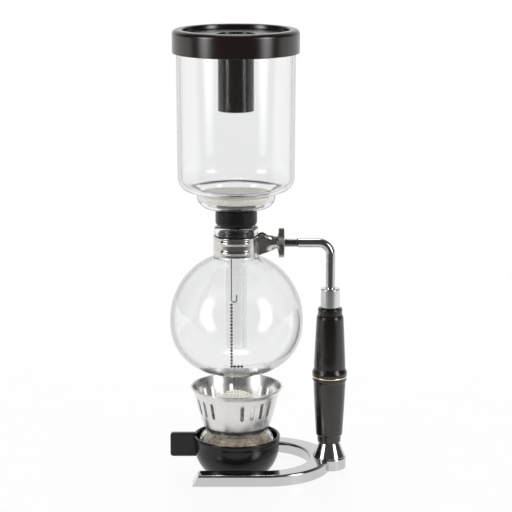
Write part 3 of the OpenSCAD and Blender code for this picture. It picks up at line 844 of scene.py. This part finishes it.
chain_low, chain_high = (corner * 1000 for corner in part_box("bead_chain"))
bead_r, bead_pitch, pin_r, inset = 1.08, 2.6, 0.2, 1.1
chain_x = chain_low.x + inset
floor_z = chain_low.z + inset
hanging = round((chain_high.z - inset - floor_z) / bead_pitch)
tail = round((chain_high.x - inset - chain_x) / bead_pitch)
route = [(chain_x, chain_high.z - inset - i * bead_pitch) for i in range(hanging + 1)]
route += [(chain_x + i * bead_pitch, floor_z) for i in range(1, tail + 1)]
bm = bmesh.new()
for (x0, height0), (x1, height1) in zip(route, route[1:]):
    pin = bmesh.ops.create_cone(bm, segments=6, radius1=pin_r, radius2=pin_r, depth=bead_pitch)["verts"]
    if height0 == height1:
        bmesh.ops.rotate(bm, matrix=Matrix.Rotation(math.pi / 2, 3, "Y"), verts=pin)
    bmesh.ops.translate(bm, vec=((x0 + x1) / 2, 0, (height0 + height1) / 2), verts=pin)
for x, height in route:
    bead = bmesh.ops.create_uvsphere(bm, u_segments=16, v_segments=10, radius=bead_r)["verts"]
    bmesh.ops.translate(bm, vec=(x, 0, height), verts=bead)
new_piece("ball_chain", bm, dull, "filter", "bead_chain", 60)

# ---------------------------------------------------------------------------
# Burner holder
# The holder is a cup of smooth black heat-proof plastic, moulded in one piece with a rounded lip and
# a flat tab to hold it by. The glass spirit pot sits loose in it.

bakelite, bakelite_shader = material("black_bakelite", Specular_IOR_Level=0.3)
moulded = cloudy(bakelite, 1200, detail=2)
wire_to(bakelite, tinted(bakelite, cloudy(bakelite, 40), (0.0035, 0.0034, 0.0036), (0.0070, 0.0069, 0.0070)),
        bakelite_shader, "Base Color")
wire_to(bakelite, between(bakelite, cloudy(bakelite, 90), 0.16, 0.24), bakelite_shader, "Roughness")
dented(bakelite, bakelite_shader, moulded, 0.00003, 0.5)

holder_low, holder_high = (corner * 1000 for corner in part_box("burner_holder"))
lip_r = holder_high.x - glass_mm
cup = turned([(0, 0.7), (23.5, 0.7, 0.4), (24.0, 0.0, 0.3), (25.6, 0.0, 0.5), (31.2, 7.5, 6), (32.6, 16, 6),
              (lip_r - 0.5, 21.5, 2), (lip_r, 24.0, 1.0), (lip_r, 26.6, 1.1), (lip_r - 2.4, 26.6, 1.1),
              (lip_r - 2.6, 20, 1), (30.2, 10, 4), (24.4, 3.0, 4), (0, 3.0)], glass_mm, steps=128)
tab = bmesh.new()
bmesh.ops.create_cube(tab, size=1)
tab_x0, tab_x1, tab_z0, tab_z1, tab_thick = holder_low.x, glass_mm - 30.9, 9.5, 28.0, 5
for vert in tab.verts:
    vert.co.x = tab_x0 if vert.co.x < 0 else tab_x1
    vert.co.y *= tab_thick
    vert.co.z = tab_z0 if vert.co.z < 0 else tab_z1
bevel(tab, [e for e in tab.edges if all(abs(v.co.x - tab_x0) < 0.1 for v in e.verts)
            and abs(e.verts[0].co.y - e.verts[1].co.y) > 1], 2.2, 6)
bevel(tab, [e for e in tab.edges if e.calc_face_angle(0) > 0.9 and min(v.co.x for v in e.verts) < tab_x1 - 1],
      0.8, 3)
cup = cut(cup, tab, "UNION")
new_piece("burner_cup", cup, bakelite, "burner", "burner_holder")

# ---------------------------------------------------------------------------
# Spirit pot
# The pot is pressed glass with a low shoulder. Its short neck takes the wick holder and carries the
# wind screen.

pot_low, pot_high = heights("lamp_pot")
pot = turned([(0, pot_low)] + [(21.5, pot_low, 1.0), (27.5, pot_low + 3.5, 2.5), (29.5, pot_low + 10, 3),
             (29.5, 23.0, 3), (27.0, 27.6, 3), (22, 29.6, 3), (14.8, 30.2, 1.0), (12.9, 31.6, 0.8),
             (12.9, pot_high, 0.7), (11.0, pot_high, 0.7), (11.0, 29.4, 1.2), (22, 27.4, 3), (26, 24.5, 3),
             (27.6, 21, 3), (27.6, pot_low + 10.4, 3), (25.4, pot_low + 5, 2), (20.5, pot_low + 2.4, 1),
             (0, pot_low + 2.4)], glass_mm, steps=128)
new_piece("spirit_pot", pot, glass, "burner", "lamp_pot")

# ---------------------------------------------------------------------------
# Wick
# A tube of stainless steel with a flange holds a thick bundle of soft cotton yarn. Above the tube
# the yarns spread into a tuft.

holder_z0, holder_z1 = heights("wick_holder")
tube = turned([(9.8, holder_z0, 0.2), (10.6, holder_z0, 0.2), (10.6, 35.3), (14.2, 35.3, 0.3),
               (14.2, 36.2, 0.4), (10.7, 36.2, 0.5), (10.6, holder_z1 - 0.8, 0.3), (11.1, holder_z1, 0.4),
               (9.8, holder_z1, 0.3)], glass_mm, steps=96)
new_piece("wick_tube", tube, stainless, "wick", "wick_holder")

wick_low, wick_top = heights("wick")
yarn_r, ring_step, bundle_r = 1.15, 1.75, 8.4
yarn_foot, flare_z, levels = 44, 49.5, 8
dome_drop, flare = 3.8, 2.9
bm = bmesh.new()
for ring_number in range(6):
    radius = ring_step * ring_number
    count = max(1, round(math.tau * radius / 1.9))
    for number in range(count):
        turn = math.tau * (number + 0.5 * (ring_number % 2)) / count
        across = Vector((math.cos(turn), math.sin(turn), 0))
        spread = ring_number / 5
        wander = noise.noise(Vector((ring_number * 3.1, number * 1.7, 0.4)))
        top = wick_top - 1.2 - dome_drop * spread ** 2.2 + 0.8 * wander
        ring = bmesh.ops.create_circle(bm, cap_ends=True, segments=7, radius=yarn_r)["verts"]
        faces = [f for f in bm.faces if all(v in ring for v in f.verts)]
        bmesh.ops.translate(bm, vec=across * min(radius, bundle_r) + Vector((0, 0, yarn_foot)), verts=ring)
        for level in range(1, levels + 1):
            z = yarn_foot + (top - yarn_foot) * level / levels
            grown = bmesh.ops.extrude_face_region(bm, geom=faces)
            bmesh.ops.delete(bm, geom=faces, context="FACES_ONLY")
            faces = [g for g in grown["geom"] if isinstance(g, bmesh.types.BMFace)]
            moved = [g for g in grown["geom"] if isinstance(g, bmesh.types.BMVert)]
            middle = sum((v.co for v in moved), Vector()) / len(moved)
            open_out = min(1.0, max(0.0, (z - flare_z) / 5)) ** 1.3 * flare * spread
            place = across * (min(radius, bundle_r) + open_out) + Vector((0, 0, z))
            place += Vector((noise.noise(Vector((turn * 4, z * 0.3, ring_number))),
                             noise.noise(Vector((z * 0.3, turn * 4, ring_number + 9))), 0)) * 0.5
            shrink = 0.72 if level == levels else 1.03
            for vert in moved:
                vert.co = place + (vert.co - middle) * shrink
bmesh.ops.translate(bm, vec=(glass_mm, 0, 0), verts=bm.verts)
core = turned([(0, wick_low), (8.4, wick_low, 0.8), (9.5, wick_low + 4, 1), (9.5, 50, 0.5), (0, 50)],
              glass_mm, steps=48)
core_mesh = bpy.data.meshes.new("work")
core.to_mesh(core_mesh)
core.free()
bm.from_mesh(core_mesh)
bpy.data.meshes.remove(core_mesh)
new_piece("cotton_wick", bm, yarn, "wick", "wick", 70)

# ---------------------------------------------------------------------------
# Pot filling
# Loose cotton is packed in the pot round the foot of the wick, where it soaks up the spirit.

soaked, soaked_shader = material("soaked_cotton", Roughness=0.8, Sheen_Weight=0.3, Specular_IOR_Level=0.3)
tangle = cloudy(soaked, 260, (1, 1, 2.5), 7, 0.7)
wire_to(soaked, tinted(soaked, tangle, (0.20, 0.13, 0.075), (0.72, 0.62, 0.47), 0.32, 0.66), soaked_shader,
        "Base Color")
dented(soaked, soaked_shader, tangle, 0.0008)

lumps_per_mm, lump_depth = 0.35, 0.5
filling = turned([(10.9, pot_low + 2.9, 0.5), (20, pot_low + 3.2, 3), (25.6, pot_low + 9, 4), (26.4, 20.5, 3),
                  (23.5, 24.8, 2), (14, 27.2, 2), (11.9, 26.8, 0.3), (11.9, 20, 1), (10.9, 17, 1)], steps=160)
bmesh.ops.subdivide_edges(filling, edges=[e for e in filling.edges if e.calc_length() > 2.2], cuts=2)
for vert in filling.verts:
    lump = noise.fractal(vert.co * lumps_per_mm, 0.6, 2.2, 4) * lump_depth
    vert.co += Vector((vert.co.x, vert.co.y, 0)).normalized() * min(0.5, lump) * 0.6
    vert.co.z += min(0.6, lump) * 0.7
bmesh.ops.translate(filling, vec=(glass_mm, 0, 0), verts=filling.verts)
packing = new_piece("cotton_filling", filling, soaked, "burner")

# ---------------------------------------------------------------------------
# Wind screen
# A cup of thin stainless sheet, deep drawn, with a rolled rim and an open bottom that sits round the
# pot's neck. Air comes in through four groups of punched upright slots.

satin_steel, satin_steel_shader = material("satin_stainless", Metallic=1.0)
drawn = cloudy(satin_steel, 260, (1, 1, 0.12), 5)
wire_to(satin_steel, tinted(satin_steel, drawn, (0.68, 0.67, 0.66), (0.76, 0.75, 0.74)), satin_steel_shader,
        "Base Color")
wire_to(satin_steel, between(satin_steel, drawn, 0.25, 0.32), satin_steel_shader, "Roughness")
dented(satin_steel, satin_steel_shader, drawn, 0.000006, 0.4)

screen_z0, screen_z1 = heights("wind_screen")
screen_r = (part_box("wind_screen")[1].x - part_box("wind_screen")[0].x) * 500
gauge, screen_bore_r = 0.7, 21.0
slot_width, slot_height, slot_round, slot_z = 2.8, 13.2, 1.38, 51.6
first_slot, slot_step, slots_in_group = -81.5, 15, 4
cup = turned([(screen_bore_r, screen_z0, 0.1), (22.4, screen_z0, 1.2), (25.2, screen_z0 + 3.4, 2.5),
              (29.2, 47, 8), (30.9, 55.6, 6), (32.9, 61.8, 3), (34.3, screen_z1 - 1.2, 0.4),
              (screen_r, screen_z1 - 0.9, 0.4), (screen_r, screen_z1, 0.4), (33.9, screen_z1, 0.3),
              (32.2, 62.0, 3), (30.2, 55.8, 6), (28.5, 47.2, 8), (24.5, screen_z0 + 3.8, 2),
              (22.2, screen_z0 + gauge, 1), (screen_bore_r, screen_z0 + gauge, 0.1)], glass_mm, steps=160)
cutters = bmesh.new()
for group in range(4):
    for number in range(slots_in_group):
        punch = bmesh.ops.create_cube(cutters, size=1)["verts"]
        bmesh.ops.scale(cutters, vec=(20, slot_width, slot_height), verts=punch)
        upright = [e for e in {edge for v in punch for edge in v.link_edges}
                   if abs(e.verts[0].co.x - e.verts[1].co.x) > 10]
        made = bmesh.ops.bevel(cutters, geom=upright, offset=slot_round, offset_type="OFFSET", segments=5,
                               profile=0.5, affect="EDGES", material=-1)
        whole = list({v for f in made["faces"] for v in f.verts} | {v for v in punch if v.is_valid})
        bmesh.ops.translate(cutters, vec=(32, 0, slot_z), verts=whole)
        turn = math.radians(first_slot + 90 * group + slot_step * number)
        bmesh.ops.rotate(cutters, matrix=Matrix.Rotation(turn, 3, "Z"), verts=whole)
bmesh.ops.translate(cutters, vec=(glass_mm, 0, 0), verts=cutters.verts)
cup = cut(cup, cutters, "DIFFERENCE")
new_piece("slotted_screen", cup, satin_steel, "screen", "wind_screen")
